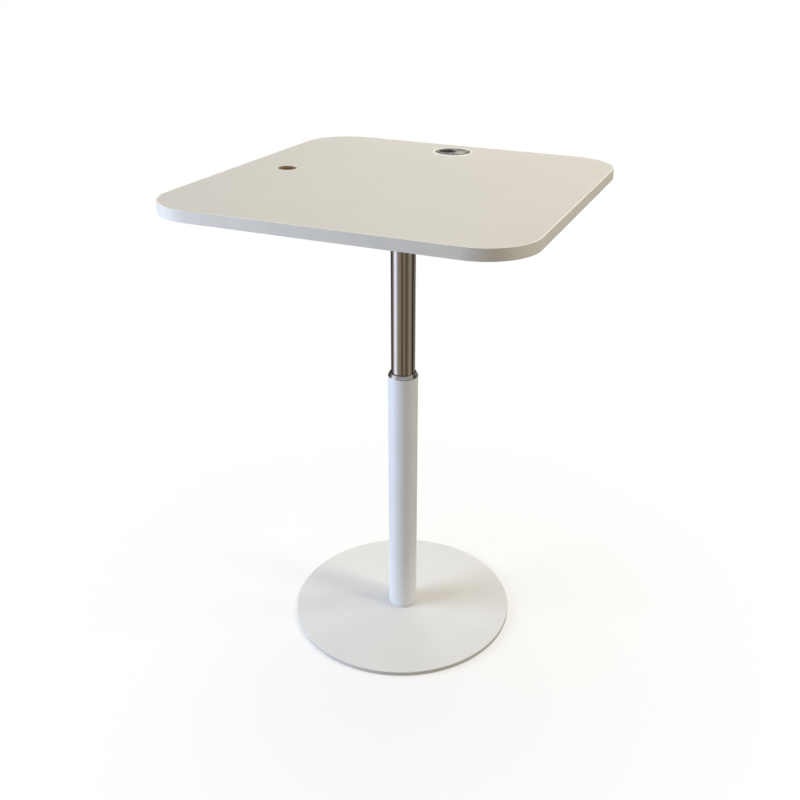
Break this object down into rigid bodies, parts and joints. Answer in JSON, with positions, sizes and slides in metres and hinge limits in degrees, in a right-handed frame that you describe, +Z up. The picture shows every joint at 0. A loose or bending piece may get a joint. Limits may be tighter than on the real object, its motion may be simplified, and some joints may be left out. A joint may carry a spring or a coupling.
{
  "type": "height-adjustable pedestal table with power module",
  "caption": "Gas-lift pedestal table with a round base, a rounded-square top, a bare cable hole and a flush round power module near the back edge.",
  "frame": {"origin": "on the column axis at floor level", "axes": "+Z up, +Y towards the edge that carries the power module, +X to the right seen from the front, so the cable hole is on the -X side"},
  "size_m": [0.7, 0.73, 1.013],
  "materials": {
    "base_plate": "fine-texture white powder coat on a steel plate",
    "base_screws": "black-zinc countersunk screws",
    "floor_glides": "grey elastomer pads",
    "foot_ring": "white powder coat",
    "foot_plug": "turned aluminium",
    "outer_tube": "white powder-coated steel tube",
    "upper_bush": "unfilled acetal",
    "collar_ring": "polished chrome",
    "wiper_seal": "black nitrile",
    "thrust_washer": "unfilled acetal",
    "spring_cylinder": "black enamel on steel",
    "retaining_clip": "spring steel",
    "spring_gland": "turned aluminium",
    "rod_seal": "black nitrile",
    "spring_rod": "hard chrome",
    "spring_piston": "turned aluminium",
    "piston_ring": "black nitrile",
    "inner_tube": "polished chrome-plated steel tube",
    "lower_bush": "unfilled acetal",
    "top_plug": "turned aluminium",
    "rod_nuts": "zinc-plated hexagon nuts",
    "top_bracket": "black powder coat on welded steel",
    "hub_screws": "black-oxide set screws",
    "plate_screws": "zinc-plated wood screws",
    "lever_pin": "bright steel pin",
    "release_pin": "drawn brass",
    "release_lever": "black powder coat on steel",
    "lever_grip": "grained black nylon",
    "top_core": "particle board, raw in the cable hole",
    "top_laminate": "warm light-grey high-pressure laminate",
    "bottom_laminate": "white balancing laminate",
    "edge_band": "light-grey plastic edge band",
    "module_bezel": "satin white plastic",
    "clamp_nut": "satin white plastic",
    "socket_face": "satin dark-grey plastic",
    "usb_panel": "satin mid-grey plastic",
    "shutter": "acetal",
    "shutter_spring": "spring wire",
    "contact_block": "black thermoset",
    "pin_contacts": "tinned brass",
    "earth_strap": "nickel-plated spring brass",
    "usb_a_shell": "stamped stainless steel",
    "usb_a_tongue": "white plastic",
    "usb_c_shell": "stamped stainless steel",
    "usb_c_tongue": "black plastic",
    "charger_board": "glass-epoxy board with green solder mask",
    "board_components": "moulded component bodies",
    "board_leads": "brown insulated wire",
    "module_housing": "dark-grey flame-retardant plastic",
    "module_screws": "zinc-plated self-tapping screws",
    "strain_relief": "black elastomer",
    "mains_lead": "dark-grey flexible cord",
    "mains_plug": "moulded dark-grey plastic",
    "plug_pins": "nickel-plated brass pins",
    "lead_clips": "white nylon"
  },
  "bodies": {
    "base": {"base_plate": "base_plate", "base_screws": "base_screws", "floor_glides": "floor_glides", "foot_ring": "foot_ring", "foot_plug": "foot_plug", "outer_tube": "outer_tube", "upper_bush": "upper_bush", "collar_ring": "collar_ring", "wiper_seal": "wiper_seal", "thrust_washer": "thrust_washer"},
    "gas_spring": {"spring_cylinder": "spring_cylinder", "retaining_clip": "retaining_clip", "spring_gland": "spring_gland", "rod_seal": "rod_seal"},
    "release_pin": {"release_pin": "release_pin"},
    "lever": {"release_lever": "release_lever", "lever_grip": "lever_grip"},
    "shutter": {"shutter": "shutter"},
    "upper": {"spring_rod": "spring_rod", "spring_piston": "spring_piston", "piston_ring": "piston_ring", "inner_tube": "inner_tube", "lower_bush": "lower_bush", "top_plug": "top_plug", "rod_nuts": "rod_nuts", "top_bracket": "top_bracket", "hub_screws": "hub_screws", "plate_screws": "plate_screws", "lever_pin": "lever_pin", "top_core": "top_core", "top_laminate": "top_laminate", "bottom_laminate": "bottom_laminate", "edge_band": "edge_band", "module_bezel": "module_bezel", "clamp_nut": "clamp_nut", "socket_face": "socket_face", "usb_panel": "usb_panel", "shutter_spring": "shutter_spring", "contact_block": "contact_block", "pin_contacts": "pin_contacts", "earth_strap": "earth_strap", "usb_a_shell": "usb_a_shell", "usb_a_tongue": "usb_a_tongue", "usb_c_shell": "usb_c_shell", "usb_c_tongue": "usb_c_tongue", "charger_board": "charger_board", "board_components": "board_components", "board_leads": "board_leads", "module_housing": "module_housing", "module_screws": "module_screws", "strain_relief": "strain_relief", "mains_lead": "mains_lead", "mains_plug": "mains_plug", "plug_pins": "plug_pins", "lead_clips": "lead_clips"}
  },
  "joints": [
    {"name": "top_swivel", "type": "hinge", "parent": "base", "child": "gas_spring", "pos_m": [0, 0, 0.05], "axis": [0, 0, 1], "continuous": true},
    {"name": "column_lift", "type": "slide", "parent": "gas_spring", "child": "upper", "axis": [0, 0, 1], "range_m": [-0.322, 0.086]},
    {"name": "lever_lift", "type": "hinge", "parent": "upper", "child": "lever", "pos_m": [0.045, 0, 0.974], "axis": [0, -1, 0], "range_deg": [0, 3.8]},
    {"name": "release_pin_press", "type": "slide", "parent": "upper", "child": "release_pin", "axis": [0, 0, -1], "range_m": [0, 0.003]},
    {"name": "shutter_turn", "type": "hinge", "parent": "upper", "child": "shutter", "pos_m": [-0.0205, 0.293, 0.9934], "axis": [0, 0, 1], "range_deg": [0, 28]}
  ],
  "couplings": [
    {"joint": "release_pin_press", "follows": "lever_lift", "m_per_rad": 0.045}
  ]
}
